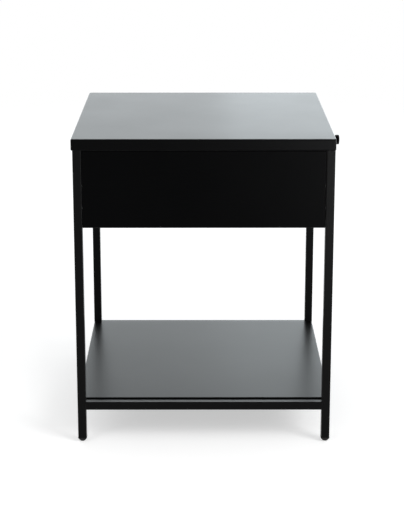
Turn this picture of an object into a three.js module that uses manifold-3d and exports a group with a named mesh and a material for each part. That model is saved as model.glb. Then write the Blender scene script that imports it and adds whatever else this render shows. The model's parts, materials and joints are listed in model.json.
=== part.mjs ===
// Side table with one drawer: folded steel top, four square tube legs, a sheet-metal drawer box with
// ball-bearing runners, and an open folded shelf. Millimetres, +Z up, the drawer opens towards -Y.
import * as THREE from "three";
import { mergeVertices } from "three/addons/utils/BufferGeometryUtils.js";
import Module from "manifold-3d";

const wasm = await Module();
wasm.setup();

// Overall
const tableHeight = 550;
const topWidth = 450; // left to right
const topDepth = 450; // front to back
const overhangFront = 1; // top past the legs
const overhangRear = 2.5;
const overhangSide = 1.5;

// Top
const topThickness = 20;
const topSheet = 1.2;
const topBend = 2.2; // outside radius of a fold
const topReturn = 22; // flange folded in under the edge

// Legs, side rails and feet
const tubeSize = 15;
const tubeWall = 1.2;
const tubeCorner = 1.6;
const footHeight = 8; // below the tube's end
const footRim = 1.4; // the straight rim under the tube
const footOversize = 0.3; // rim past the tube, each side
const footDomeFlat = 3; // half of the flat that meets the floor
const footDomeFullness = 1.25; // 1 is a straight taper
const footPlug = 16; // inside the tube
const footFins = 2;
const footFinDepth = 1.2;
const footFit = 0.1; // between a fin and the tube's bore
const railBottom = 60.5; // side rail above the floor

// Drawer box
const boxHeight = 136;
const panelSheet = 1;
const panelBend = 1.8;
const panelInset = 0.5; // panel's face behind the legs' faces
const panelSeam = 0.4; // between a panel's edge and a leg
const sideTopFlange = 22;
const sideBottomFlange = 28;
const bottomHem = 6; // upturned front and rear edges of the box's bottom

// Shelf
const shelfRise = 2.5; // above the side rails
const shelfSheet = 1.2;
const shelfBend = 1.8;
const shelfReturn = 12;
const shelfSeam = 0.3; // between the shelf and the side rails

// Drawer
const frontGap = 1.5; // round the drawer's front
const frontDepth = 15;
const frontSheet = 1.2;
const frontSideLip = 30;
const frontEdgeLip = 14; // along the top and the bottom
const trayLength = 370;
const traySheet = 1;
const trayBend = 2;
const trayRim = 5; // flange folded in round the tray's mouth
const trayLift = 10; // tray's floor above the box's lower edge
const trayHeadroom = 36; // tray's rim below the top

// Knob
const knobDiameter = 18;
const knobLength = 28;
const knobHead = 9;
const knobNeckDiameter = 8;
const knobFootDiameter = 11;
const knobEdge = 1; // rounding of the head's rims
const knobDrop = 26.5; // centre below the upper edge of the drawer's front
const knobBore = 12; // depth of its threaded hole

// Runners: section sizes across (from the channel to the tray) and up
const runnerThickness = 10;
const runnerHeight = 27;
const runnerSheet = 1.2;
const runnerLength = 350;
const runnerSetback = 1.5; // behind the front legs
const runnerTravel = 260;
const runnerStop = 1.5; // tab at the rear end of an outer member
const runnerStopClear = 0.5; // between the tab and the tray's side
const runnerStopHeight = 9;
const runnerStopGap = 0.5;
const slotLength = 12; // slots along the webs of both members
const slotWidth = 4.6;
const slotPlaces = [-75, 0, 75]; // from a member's middle
const ballRadius = 2;
const ballPlay = 0.15;
const ballAcross = 5.4; // ball's centre from the channel's face
const ballsPerRow = 6;
const outerRace = [-15, 120]; // degrees of the sheet round the upper ball, 0 towards the tray
const innerRace = [-130, -60];
const outerWebUp = 10; // half of an outer member's flat web
const innerWebUp = 5.8;
const cageSheet = 0.6;
const cageAcross = 2; // cage's web from the channel's face
const cageWebUp = 8.7;
const cageBend = 0.8;
const cageReach = 0.8; // short of the balls' centres
const cageEndRoom = 2;
const channelHeight = 40;
const channelSheet = 1.2;

// Fasteners: a seat at z = 0, the head above it and the shank below it
const panelScrew = { head: 4.6, rise: 2.4, shank: 2.5, length: 9 };
const shelfBolt = { head: 3.6, rise: 2.3, shank: 1.75, length: 11 };
const traySlimScrew = { head: 3.5, rise: 1.6, shank: 2, length: 6 };
const runnerScrew = { head: 3, rise: 0, shank: 1.6, length: 8 };
const trayRivet = { head: 3.2, rise: 1.1, shank: 1.6, length: 2.6 };
const knobScrew = { head: 3.4, rise: 2, shank: 1.5, length: 10 };
const holePlay = 0.2; // hole past the shank, all round
const holeOvershoot = 0.4; // a hole's cutter past the seat

// Places of fasteners
const topScrewInset = 11; // from the side panel's face
const sideScrewInset = 58; // from the legs, front and rear
const bottomScrewInset = 22; // from the side panel's face
const backScrewInset = 25; // from the box's upper and lower edges
const frontScrewInset = 8; // from the tray's sides
const frontScrewRise = 18; // from the tray's floor and rim
const runnerScrewInset = 34; // from a member's ends
const rivetInset = 60;

// Facets
const bendSteps = 3;
const cornerOverBend = 1.3; // upright corners of a folded pan, to its folds
const roundSteps = 10;
const knobSteps = 24;
const raceSteps = 6;
const slotSteps = 5;
const domeSteps = 4;

// Worked out from the sizes above
const legOuterX = topWidth / 2 - overhangSide;
const legInnerX = legOuterX - tubeSize;
const legFrontY = -topDepth / 2 + overhangFront;
const legRearY = topDepth / 2 - overhangRear;
const spanFrontY = legFrontY + tubeSize;
const spanRearY = legRearY - tubeSize;
const topUnderside = tableHeight - topThickness;
const boxBottom = topUnderside - boxHeight;
const railTop = railBottom + tubeSize;
const shelfTop = railTop + shelfRise;
const panelFaceX = legOuterX - panelInset;
const frontFaceY = legFrontY + panelInset;
const frontBackY = frontFaceY + frontDepth;
const frontWidth = 2 * (legInnerX - frontGap);
const frontHeight = boxHeight - 2 * frontGap;
const frontTop = topUnderside - frontGap;
const trayBottom = boxBottom + trayLift;
const trayHeight = boxHeight - trayLift - trayHeadroom;
const trayWidth = 2 * (legInnerX - runnerThickness);
const runnerZ = trayBottom + trayHeight / 2;
const runnerFrontY = spanFrontY + runnerSetback;
const innerMemberLength = runnerLength - runnerStop - runnerStopGap;
const cageFrontY = runnerFrontY + runnerTravel / 2 + cageEndRoom / 2;
const cageLength = innerMemberLength - runnerTravel - cageEndRoom;
const footprintMiddleY = (frontFaceY - knobLength + topDepth / 2) / 2;

const blackCoat = new THREE.MeshStandardMaterial({ color: 0x141516, roughness: 0.38, metalness: 0.1 });
const blackPlastic = new THREE.MeshStandardMaterial({ color: 0x111111, roughness: 0.6, metalness: 0 });
const zincSteel = new THREE.MeshStandardMaterial({ color: 0xb4b7ba, roughness: 0.35, metalness: 0.9 });
const ballSteel = new THREE.MeshStandardMaterial({ color: 0xc8cacc, roughness: 0.2, metalness: 1 });
const blackSteel = new THREE.MeshStandardMaterial({ color: 0x1b1c1e, roughness: 0.4, metalness: 0.6 });

const sides = [["left", -1], ["right", 1]];
const ends = [["front", -1], ["rear", 1]];
const table = new THREE.Group();

// ---------------------------------------------------------------- solids

function solidOf(geometry) {
  const bare = geometry.index ? geometry.toNonIndexed() : geometry.clone();
  bare.deleteAttribute("normal");
  bare.deleteAttribute("uv");
  const merged = mergeVertices(bare, 1e-4);
  const vertProperties = new Float32Array(merged.attributes.position.array);
  const triVerts = new Uint32Array(merged.index.array);
  return new wasm.Manifold(new wasm.Mesh({ numProp: 3, vertProperties, triVerts }));
}

function geometryOf(solid) {
  const mesh = solid.getMesh();
  const geometry = new THREE.BufferGeometry();
  geometry.setAttribute("position", new THREE.BufferAttribute(new Float32Array(mesh.vertProperties), 3));
  geometry.setIndex(new THREE.BufferAttribute(new Uint32Array(mesh.triVerts), 1));
  geometry.computeVertexNormals();
  return geometry;
}

function place(name, geometry, material, [x, y, z]) {
  const mesh = new THREE.Mesh(geometry, material);
  mesh.name = name;
  mesh.position.set(x, y, z);
  table.add(mesh);
  return mesh;
}

// Cuts the holes of placed fasteners out of a placed mesh.
function drill(mesh, fasteners) {
  mesh.updateMatrix();
  const toMesh = mesh.matrix.clone().invert();
  let solid = solidOf(mesh.geometry);
  for (const fastener of fasteners) {
    fastener.updateMatrix();
    const cutter = fastener.userData.cutter.clone();
    cutter.applyMatrix4(fastener.matrix);
    cutter.applyMatrix4(toMesh);
    solid = solid.subtract(solidOf(cutter));
  }
  mesh.geometry = geometryOf(solid);
}

// ---------------------------------------------------------------- outlines

function arc(centre, radius, fromDegrees, toDegrees, steps) {
  const points = [];
  for (let i = 0; i <= steps; i++) {
    const angle = THREE.MathUtils.degToRad(fromDegrees + ((toDegrees - fromDegrees) * i) / steps);
    points.push(new THREE.Vector2(centre.x + radius * Math.cos(angle), centre.y + radius * Math.sin(angle)));
  }
  return points;
}

function roundedRectangle(width, height, radius, PathType = THREE.Shape) {
  const x = width / 2 - radius;
  const y = height / 2 - radius;
  const points = [[x, y, 0], [-x, y, 90], [-x, -y, 180], [x, -y, 270]].flatMap(([cx, cy, start]) =>
    arc(new THREE.Vector2(cx, cy), radius, start, start + 90, bendSteps));
  return new PathType(points);
}

// A path with an arc in place of each inner corner.
function roundedPath(corners, radius) {
  const points = [corners[0]];
  for (let i = 1; i < corners.length - 1; i++) {
    const toBefore = corners[i - 1].clone().sub(corners[i]).normalize();
    const toAfter = corners[i + 1].clone().sub(corners[i]).normalize();
    const half = Math.acos(THREE.MathUtils.clamp(toBefore.dot(toAfter), -1, 1)) / 2;
    const setback = radius / Math.tan(half);
    const start = corners[i].clone().addScaledVector(toBefore, setback);
    const middle = toBefore.clone().add(toAfter).normalize();
    const centre = corners[i].clone().addScaledVector(middle, radius / Math.sin(half));
    const from = start.clone().sub(centre);
    const turn = Math.sign(toAfter.cross(toBefore)) * (Math.PI - 2 * half);
    for (let step = 0; step <= bendSteps; step++) {
      points.push(from.clone().rotateAround(new THREE.Vector2(), (turn * step) / bendSteps).add(centre));
    }
  }
  points.push(corners[corners.length - 1]);
  return points;
}

// A path moved sideways, to its left when the distance is positive.
function offsetPath(path, distance) {
  const normals = path.slice(1).map((point, i) => {
    const along = point.clone().sub(path[i]).normalize();
    return new THREE.Vector2(-along.y, along.x);
  });
  return path.map((point, i) => {
    const before = normals[Math.max(i - 1, 0)];
    const after = normals[Math.min(i, normals.length - 1)];
    const middle = before.clone().add(after).normalize();
    return point.clone().addScaledVector(middle, distance / middle.dot(after));
  });
}

// The section of a bent sheet that fills the room between two offsets of a path.
function sheetSection(path, toRight, toLeft) {
  const right = offsetPath(path, -toRight);
  const left = offsetPath(path, toLeft);
  return new THREE.Shape([...right, ...left.reverse()]);
}

// ---------------------------------------------------------------- forms

// A section drawn across (x) and up (y), run along the table's depth from its front end.
function runBack(section, length) {
  const geometry = new THREE.ExtrudeGeometry(section, { depth: length, bevelEnabled: false });
  geometry.rotateX(Math.PI / 2);
  geometry.translate(0, length, 0);
  return geometry;
}

function squareTube(length) {
  const section = roundedRectangle(tubeSize, tubeSize, tubeCorner);
  const bore = tubeSize - 2 * tubeWall;
  section.holes.push(roundedRectangle(bore, bore, tubeCorner - tubeWall, THREE.Path));
  return new THREE.ExtrudeGeometry(section, { depth: length, bevelEnabled: false });
}

// A block from z = 0 up, with rounded rims and upright edges.
function softBlock(width, length, height, radius) {
  const section = roundedRectangle(width, length, radius * cornerOverBend);
  const geometry = new THREE.ExtrudeGeometry(section, {
    depth: height - 2 * radius,
    bevelThickness: radius,
    bevelSize: radius,
    bevelOffset: -radius,
    bevelSegments: bendSteps,
  });
  geometry.translate(0, 0, radius);
  return geometry;
}

function block(width, length, height, z) {
  const geometry = new THREE.BoxGeometry(width, length, height);
  geometry.translate(0, 0, z + height / 2);
  return geometry;
}

// A folded pan, mouth down, from z = 0 up. Its walls end in flanges folded in under it, as wide as
// the returns say, or are cut off square where there are none.
function foldedPan({ width, length, height, sheet, bend, returnX = 0, returnY = 0 }) {
  const square = returnX === 0;
  const drop = square ? 2 * bend : 0; // cut off again below
  const floor = square ? -drop : sheet;
  const outside = softBlock(width, length, height + drop, bend);
  outside.translate(0, 0, -drop);
  const inside = softBlock(width - 2 * sheet, length - 2 * sheet, height - sheet - floor, bend - sheet);
  inside.translate(0, 0, floor);
  const mouth = square
    ? block(width + 2 * bend, length + 2 * bend, 2 * drop, -2 * drop)
    : block(width - 2 * returnX, length - 2 * returnY, height / 2 + sheet, -sheet);
  return geometryOf(solidOf(outside).subtract(solidOf(inside)).subtract(solidOf(mouth)));
}

// A solid through square rings of [height, half width], its corners rounded alike.
function squareLoft(rings, corner) {
  const positions = [];
  const loops = rings.map(([z, half]) =>
    roundedRectangle(2 * half, 2 * half, Math.min(corner, half * 0.9)).getPoints()
      .slice(0, 4 * (bendSteps + 1)).map((point) => new THREE.Vector3(point.x, point.y, z)));
  const addFace = (...points) => points.forEach((point) => positions.push(point.x, point.y, point.z));
  const count = loops[0].length;
  for (let i = 0; i < count; i++) {
    const next = (i + 1) % count;
    for (let k = 1; k < loops.length; k++) {
      addFace(loops[k - 1][i], loops[k - 1][next], loops[k][next]);
      addFace(loops[k - 1][i], loops[k][next], loops[k][i]);
    }
    addFace(new THREE.Vector3(0, 0, rings[0][0]), loops[0][next], loops[0][i]);
    addFace(new THREE.Vector3(0, 0, rings.at(-1)[0]), loops.at(-1)[i], loops.at(-1)[next]);
  }
  const geometry = new THREE.BufferGeometry();
  geometry.setAttribute("position", new THREE.Float32BufferAttribute(positions, 3));
  return geometry;
}

// A turned solid: profile points of [radius, height], up its axis.
function turned(profile, steps) {
  const geometry = new THREE.LatheGeometry(profile.map(([r, z]) => new THREE.Vector2(r, z)), steps);
  geometry.rotateX(Math.PI / 2);
  return geometry;
}

// ---------------------------------------------------------------- fasteners

const headFlat = 0.62; // radius of a pan head's flat, as a share of the head
const headWall = 0.45; // height of its upright rim, as a share of its rise

function panHead({ head, rise, shank, length }) {
  const profile = [[0, -length], [shank, -length], [shank, 0], [head, 0]];
  profile.push([head, rise * headWall], [head * headFlat, rise], [0, rise]);
  return turned(profile, roundSteps);
}

function flatHead({ head, shank, length }, grow = 0, overshoot = 0) {
  const profile = [[0, -length], [shank + grow, -length], [shank + grow, shank - head]];
  profile.push([head + grow, 0]);
  if (overshoot > 0) profile.push([head + grow, overshoot]);
  profile.push([0, overshoot]);
  return turned(profile, roundSteps);
}

function holeCutter({ shank, length }) {
  const radius = shank + holePlay;
  return turned([[0, -length], [radius, -length], [radius, holeOvershoot], [0, holeOvershoot]], roundSteps);
}

// A fastener with its seat at a point and its head towards a direction.
function fasten(name, kind, seat, towards, material, flat = false) {
  const geometry = flat ? flatHead(kind) : panHead(kind);
  const mesh = place(name, geometry, material, seat);
  mesh.quaternion.setFromUnitVectors(new THREE.Vector3(0, 0, 1), new THREE.Vector3(...towards));
  mesh.userData.cutter = flat ? flatHead(kind, holePlay, holeOvershoot) : holeCutter(kind);
  return mesh;
}

// ---------------------------------------------------------------- frame

function makeFoot(name, x, y) {
  const rim = tubeSize / 2 + footOversize;
  const domeTop = footHeight - footRim;
  const rings = [];
  for (let i = 0; i <= domeSteps; i++) {
    const up = i / domeSteps;
    rings.push([domeTop * up, footDomeFlat + (rim - footDomeFlat) * up ** (1 / footDomeFullness)]);
  }
  rings.push([footHeight, rim]);
  const fin = tubeSize / 2 - tubeWall - footFit;
  const core = fin - footFinDepth;
  const pitch = footPlug / footFins;
  rings.push([footHeight, core]);
  for (let i = 0; i < footFins; i++) {
    const finRings = [core, fin, fin, core];
    finRings.forEach((half, k) => rings.push([footHeight + pitch * (i + (k + 1) / finRings.length), half]));
  }
  rings.push([footHeight + footPlug + footFinDepth, core]);
  return place(name, squareLoft(rings, tubeCorner * 1.5), blackPlastic, [x, y, 0]);
}

const legs = {};
for (const [end, toRear] of ends) {
  for (const [side, toRight] of sides) {
    const x = toRight * (legOuterX - tubeSize / 2);
    const y = toRear < 0 ? legFrontY + tubeSize / 2 : legRearY - tubeSize / 2;
    const tube = squareTube(topUnderside - footHeight);
    legs[`${end}_${side}`] = place(`leg_${end}_${side}`, tube, blackCoat, [x, y, footHeight]);
    makeFoot(`foot_${end}_${side}`, x, y);
  }
}

const sideRails = sides.map(([side, toRight]) => {
  const tube = squareTube(spanRearY - spanFrontY);
  tube.rotateX(-Math.PI / 2);
  const x = toRight * (legOuterX - tubeSize / 2);
  return place(`lower_rail_${side}`, tube, blackCoat, [x, spanFrontY, railBottom + tubeSize / 2]);
});

const topPan = foldedPan({
  width: topWidth,
  length: topDepth,
  height: topThickness,
  sheet: topSheet,
  bend: topBend,
  returnX: topReturn,
  returnY: topReturn,
});
const topPanel = place("top_panel", topPan, blackCoat, [0, 0, topUnderside]);

const shelfPan = foldedPan({
  width: 2 * (legInnerX - shelfSeam),
  length: legRearY - legFrontY - 2 * panelInset,
  height: shelfTop - railBottom,
  sheet: shelfSheet,
  bend: shelfBend,
  returnX: shelfReturn,
  returnY: shelfReturn,
});
const shelf = place("lower_shelf", shelfPan, blackCoat, [0, (legFrontY + legRearY) / 2, railBottom]);

// ---------------------------------------------------------------- drawer box

// The side panel's section, its face at x = 0 and its flanges towards -x, mirrored for the left side.
function sidePanelGeometry(toRight) {
  const corners = [
    new THREE.Vector2(-sideBottomFlange, 0),
    new THREE.Vector2(0, 0),
    new THREE.Vector2(0, boxHeight),
    new THREE.Vector2(-sideTopFlange, boxHeight),
  ];
  const section = sheetSection(roundedPath(corners, panelBend), 0, panelSheet);
  const geometry = runBack(section, spanRearY - spanFrontY - 2 * panelSeam);
  if (toRight > 0) return geometry;
  geometry.rotateZ(Math.PI);
  geometry.translate(0, spanRearY - spanFrontY - 2 * panelSeam, 0);
  return geometry;
}

const sidePanels = sides.map(([side, toRight]) =>
  place(`side_panel_${side}`, sidePanelGeometry(toRight), blackCoat,
    [toRight * panelFaceX, spanFrontY + panelSeam, boxBottom]));

const backPan = foldedPan({
  width: 2 * (legInnerX - panelSeam),
  length: boxHeight,
  height: tubeSize - panelInset - panelSeam,
  sheet: panelSheet,
  bend: panelBend,
});
backPan.rotateX(-Math.PI / 2);
const backPanel = place("back_panel", backPan, blackCoat,
  [0, spanRearY + panelSeam, boxBottom + boxHeight / 2]);

const bottomFrontY = frontBackY + frontGap;
const bottomRearY = legRearY - panelInset - panelBend - panelSeam; // clear of the back panel's folds

// The box's bottom: a flat sheet with its front and rear edges turned up.
function bottomPanelGeometry() {
  const width = 2 * (legInnerX - panelSeam - panelBend - panelSeam);
  const corners = [
    new THREE.Vector2(0, bottomHem),
    new THREE.Vector2(0, 0),
    new THREE.Vector2(bottomRearY - bottomFrontY, 0),
    new THREE.Vector2(bottomRearY - bottomFrontY, bottomHem),
  ];
  const section = sheetSection(roundedPath(corners, panelBend), 0, panelSheet);
  const geometry = new THREE.ExtrudeGeometry(section, { depth: width, bevelEnabled: false });
  geometry.rotateX(Math.PI / 2);
  geometry.rotateZ(Math.PI / 2);
  geometry.translate(-width / 2, 0, 0);
  return geometry;
}

const bottomPanel = place("bottom_panel", bottomPanelGeometry(), blackCoat,
  [0, bottomFrontY, boxBottom + panelSheet]);

// The channel that carries a runner: its web level with the legs' inner faces.
function channelGeometry(toRight) {
  const depth = legOuterX - panelInset - panelSheet - legInnerX;
  const corners = [
    new THREE.Vector2(depth, -channelHeight / 2),
    new THREE.Vector2(0, -channelHeight / 2),
    new THREE.Vector2(0, channelHeight / 2),
    new THREE.Vector2(depth, channelHeight / 2),
  ];
  const section = sheetSection(roundedPath(corners, panelBend), channelSheet, 0);
  const geometry = runBack(section, spanRearY - spanFrontY);
  if (toRight > 0) return geometry;
  geometry.rotateZ(Math.PI);
  geometry.translate(0, spanRearY - spanFrontY, 0);
  return geometry;
}

const channels = sides.map(([side, toRight]) =>
  place(`runner_channel_${side}`, channelGeometry(toRight), zincSteel,
    [toRight * legInnerX, spanFrontY, runnerZ]));

// ---------------------------------------------------------------- drawer

const frontPan = foldedPan({
  width: frontWidth,
  length: frontHeight,
  height: frontDepth,
  sheet: frontSheet,
  bend: topBend,
  returnX: frontSideLip,
  returnY: frontEdgeLip,
});
frontPan.rotateX(Math.PI / 2);
const drawerFront = place("drawer_front", frontPan, blackCoat,
  [0, frontBackY, frontTop - frontHeight / 2]);

const trayPan = foldedPan({
  width: trayWidth,
  length: trayLength,
  height: trayHeight,
  sheet: traySheet,
  bend: trayBend,
  returnX: trayRim,
  returnY: trayRim,
});
trayPan.rotateX(Math.PI);
const drawerTray = place("drawer_tray", trayPan, blackCoat,
  [0, frontBackY + trayLength / 2, trayBottom + trayHeight]);

// Turned knob on a flared foot and a thin neck, with a blind hole for its screw. Its axis runs up +z.
function knobGeometry() {
  const head = knobDiameter / 2;
  const neck = knobNeckDiameter / 2;
  const foot = knobFootDiameter / 2;
  const flare = foot - neck;
  const headBase = knobLength - knobHead;
  const hole = knobScrew.shank + holePlay / 2;
  const round = (x, z, radius, from, to) =>
    arc(new THREE.Vector2(x, z), radius, from, to, bendSteps).map((point) => [point.x, point.y]);
  const profile = [
    [0, knobBore],
    [hole, knobBore],
    [hole, 0],
    [foot, 0],
    ...round(foot, flare * 1.5, flare, 270, 180),
    [neck, headBase],
    ...round(head - knobEdge, headBase + knobEdge, knobEdge, 270, 360),
    ...round(head - knobEdge, knobLength - knobEdge, knobEdge, 0, 90),
    [0, knobLength],
  ];
  return turned(profile, knobSteps);
}

const knobZ = frontTop - knobDrop;
const knob = place("knob", knobGeometry(), blackCoat, [0, frontFaceY, knobZ]);
knob.rotation.x = Math.PI / 2;

// ---------------------------------------------------------------- runners

const ballUp = runnerHeight / 2 - runnerSheet - ballPlay - ballRadius;
const ballCentre = new THREE.Vector2(ballAcross, ballUp);
const raceRadius = ballRadius + ballPlay + runnerSheet / 2; // to the middle of the sheet
const mirrored = (path) => path.map((point) => new THREE.Vector2(point.x, -point.y)).reverse();

// A race round the upper ball, a straight run to the web, and the same below.
function memberSection([fromDegrees, toDegrees], webAcross, webUp) {
  const half = arc(ballCentre, raceRadius, fromDegrees, toDegrees, raceSteps);
  half.push(new THREE.Vector2(webAcross, webUp));
  return sheetSection([...half, ...mirrored(half)], runnerSheet / 2, runnerSheet / 2);
}

const outerSection = memberSection(outerRace, runnerSheet / 2, outerWebUp);
const innerSection = memberSection(innerRace, runnerThickness - runnerSheet / 2, innerWebUp);

function cageSection() {
  const half = [
    new THREE.Vector2(ballAcross - cageReach, ballUp),
    new THREE.Vector2(cageAcross, cageWebUp),
  ];
  const path = roundedPath([...half, ...mirrored(half)], cageBend);
  return sheetSection(path, cageSheet / 2, cageSheet / 2);
}

function cageGeometry() {
  let solid = solidOf(runBack(cageSection(), cageLength));
  const pitch = cageLength / ballsPerRow;
  for (const up of [-ballUp, ballUp]) {
    for (let i = 0; i < ballsPerRow; i++) {
      const ball = new THREE.IcosahedronGeometry(ballRadius, 1);
      ball.translate(ballAcross, pitch * (i + 0.5), up);
      solid = solid.add(solidOf(ball));
    }
  }
  return geometryOf(solid);
}

// Cuts the slots out of a member, whose web's middle lies across from the channel's face.
function slotted(geometry, length, webAcross) {
  const straight = (slotLength - slotWidth) / 2;
  const outline = [
    ...arc(new THREE.Vector2(straight, 0), slotWidth / 2, -90, 90, slotSteps),
    ...arc(new THREE.Vector2(-straight, 0), slotWidth / 2, 90, 270, slotSteps),
  ];
  let solid = solidOf(geometry);
  for (const along of slotPlaces) {
    const options = { depth: 2 * runnerSheet, bevelEnabled: false };
    const slot = new THREE.ExtrudeGeometry(new THREE.Shape(outline), options);
    slot.rotateX(Math.PI / 2);
    slot.rotateZ(Math.PI / 2);
    slot.translate(webAcross - runnerSheet, length / 2 + along, 0);
    solid = solid.subtract(solidOf(slot));
  }
  return geometryOf(solid);
}

// The stop tab stands at the rear end, which is the drawn front end of a member that gets turned round.
function outerMemberGeometry(toRight) {
  const reach = runnerThickness - runnerStopClear - runnerSheet / 2;
  const stop = new THREE.BoxGeometry(reach, runnerStop, runnerStopHeight);
  const fromMiddle = (runnerLength - runnerStop) / 2;
  stop.translate((runnerSheet + reach) / 2, runnerLength / 2 - toRight * fromMiddle, 0);
  const member = solidOf(runBack(outerSection, runnerLength)).add(solidOf(stop));
  return slotted(geometryOf(member), runnerLength, runnerSheet / 2);
}

function innerMemberGeometry() {
  const member = runBack(innerSection, innerMemberLength);
  return slotted(member, innerMemberLength, runnerThickness - runnerSheet / 2);
}

// A runner piece is drawn for the left side, across towards +x, and turned round for the right side.
function placeRunnerPiece(name, geometry, material, toRight, frontY, length) {
  const x = toRight * legInnerX;
  if (toRight < 0) return place(name, geometry, material, [x, frontY, runnerZ]);
  const mesh = place(name, geometry, material, [x, frontY + length, runnerZ]);
  mesh.rotation.z = Math.PI;
  return mesh;
}

// ---------------------------------------------------------------- fastening

const boxScrews = { top: [], bottom: [], back: [], shelf: [] };
for (const [end, toRear] of ends) {
  for (const [side, toRight] of sides) {
    const where = `${end}_${side}`;
    const y = toRear < 0 ? spanFrontY + sideScrewInset : spanRearY - sideScrewInset;
    const topSeat = [toRight * (panelFaceX - topScrewInset), y, topUnderside - panelSheet];
    boxScrews.top.push(fasten(`top_screw_${where}`, panelScrew, topSeat, [0, 0, -1], blackSteel));
    const bottomSeat = [toRight * (panelFaceX - bottomScrewInset), y, boxBottom];
    boxScrews.bottom.push(fasten(`bottom_screw_${where}`, traySlimScrew, bottomSeat, [0, 0, -1], blackSteel));
    const shelfSeat = [toRight * (legInnerX - shelfSeam - shelfSheet), y, railBottom + tubeSize / 2];
    boxScrews.shelf.push(fasten(`shelf_bolt_${where}`, shelfBolt, shelfSeat, [-toRight, 0, 0], blackSteel));
  }
}
for (const [level, up] of [["lower", -1], ["upper", 1]]) {
  for (const [side, toRight] of sides) {
    const z = boxBottom + boxHeight / 2 + up * (boxHeight / 2 - backScrewInset);
    const seat = [toRight * (legInnerX - panelSeam - panelSheet), legRearY - tubeSize / 2, z];
    const name = `back_screw_${level}_${side}`;
    boxScrews.back.push(fasten(name, panelScrew, seat, [-toRight, 0, 0], blackSteel));
  }
}
drill(topPanel, boxScrews.top);
drill(backPanel, boxScrews.back);
drill(bottomPanel, boxScrews.bottom);
drill(shelf, boxScrews.shelf);
sidePanels.forEach((panel) => drill(panel, [...boxScrews.top, ...boxScrews.bottom]));
sideRails.forEach((rail) => drill(rail, boxScrews.shelf));
sides.forEach(([side]) => drill(legs[`rear_${side}`], boxScrews.back));

const frontScrews = [];
const frontLevels = [
  ["lower", trayBottom + frontScrewRise],
  ["upper", trayBottom + trayHeight - frontScrewRise],
];
for (const [level, z] of frontLevels) {
  for (const [side, toRight] of sides) {
    const seat = [toRight * (trayWidth / 2 - frontScrewInset), frontBackY + traySheet, z];
    frontScrews.push(fasten(`front_screw_${level}_${side}`, traySlimScrew, seat, [0, 1, 0], blackSteel));
  }
}
const knobBolt = fasten("knob_screw", knobScrew, [0, frontFaceY + frontSheet, knobZ], [0, 1, 0], blackSteel);
drill(drawerFront, [...frontScrews, knobBolt]);
drill(drawerTray, frontScrews);

for (const [index, [side, toRight]] of sides.entries()) {
  const faceX = toRight * legInnerX;
  const outer = placeRunnerPiece(`runner_outer_${side}`, outerMemberGeometry(toRight), zincSteel,
    toRight, runnerFrontY, runnerLength);
  const inner = placeRunnerPiece(`runner_inner_${side}`, innerMemberGeometry(), zincSteel,
    toRight, runnerFrontY, innerMemberLength);
  placeRunnerPiece(`runner_cage_${side}`, cageGeometry(), ballSteel, toRight, cageFrontY, cageLength);
  for (const [end, toRear] of ends) {
    const middle = runnerFrontY + runnerLength / 2;
    const screwY = middle + toRear * (runnerLength / 2 - runnerScrewInset);
    const screwSeat = [faceX - toRight * runnerSheet, screwY, runnerZ];
    const towards = [-toRight, 0, 0];
    const screw = fasten(`runner_screw_${end}_${side}`, runnerScrew, screwSeat, towards, zincSteel, true);
    drill(outer, [screw]);
    drill(channels[index], [screw]);
    const rivetY = middle + toRear * (runnerLength / 2 - rivetInset);
    const rivetSeat = [toRight * (trayWidth / 2 - traySheet), rivetY, runnerZ];
    const rivet = fasten(`tray_rivet_${end}_${side}`, trayRivet, rivetSeat, towards, zincSteel);
    drill(inner, [rivet]);
    drill(drawerTray, [rivet]);
  }
}

table.position.y = -footprintMiddleY;
const model = new THREE.Group();
model.name = "side_table_with_drawer";
model.add(table);

export default model;
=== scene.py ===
import json
import math

import bmesh
import bpy
from mathutils import Matrix, Vector


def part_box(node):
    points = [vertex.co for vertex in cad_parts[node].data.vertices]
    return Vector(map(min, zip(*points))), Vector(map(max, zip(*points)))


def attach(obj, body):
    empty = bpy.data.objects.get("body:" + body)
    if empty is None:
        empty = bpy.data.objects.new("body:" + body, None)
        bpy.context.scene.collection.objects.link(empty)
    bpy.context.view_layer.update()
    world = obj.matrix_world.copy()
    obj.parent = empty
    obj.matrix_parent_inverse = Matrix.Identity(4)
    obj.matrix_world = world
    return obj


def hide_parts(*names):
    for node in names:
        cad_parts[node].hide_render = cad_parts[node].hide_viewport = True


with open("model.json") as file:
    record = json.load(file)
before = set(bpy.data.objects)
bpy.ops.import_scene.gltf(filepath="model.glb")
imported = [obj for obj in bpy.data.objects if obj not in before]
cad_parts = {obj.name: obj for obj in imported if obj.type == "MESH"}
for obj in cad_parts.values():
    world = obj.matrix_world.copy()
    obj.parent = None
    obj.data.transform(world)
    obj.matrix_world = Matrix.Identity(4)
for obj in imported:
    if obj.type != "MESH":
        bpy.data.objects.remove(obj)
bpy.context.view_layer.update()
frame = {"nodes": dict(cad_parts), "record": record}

mm = 0.001
scene = bpy.context.scene
scene.view_settings.view_transform = "Standard"
sides = (("left", -1), ("right", 1))
mergeWithin = 0.01 * mm  # points closer than this are one


def link(thing):
    scene.collection.objects.link(thing)
    return thing


# The frame's nodes whose names start so.
def nodesNamed(prefix):
    return [name for name in frame["nodes"] if name.startswith(prefix)]


print("camera")
cameraView = {
    "lens": 103.3,
    "sensor": 36,  # both in mm
    "distance": 2.427,  # from the top's near edge, all in metres
    "behindMiddle": 0.0072,
    "overTop": 0.5131,
    "lookDown": 14.09,  # degrees
    "lookAside": 0.112,
    "shift": -0.12,  # share of the view's longer side
}


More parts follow.
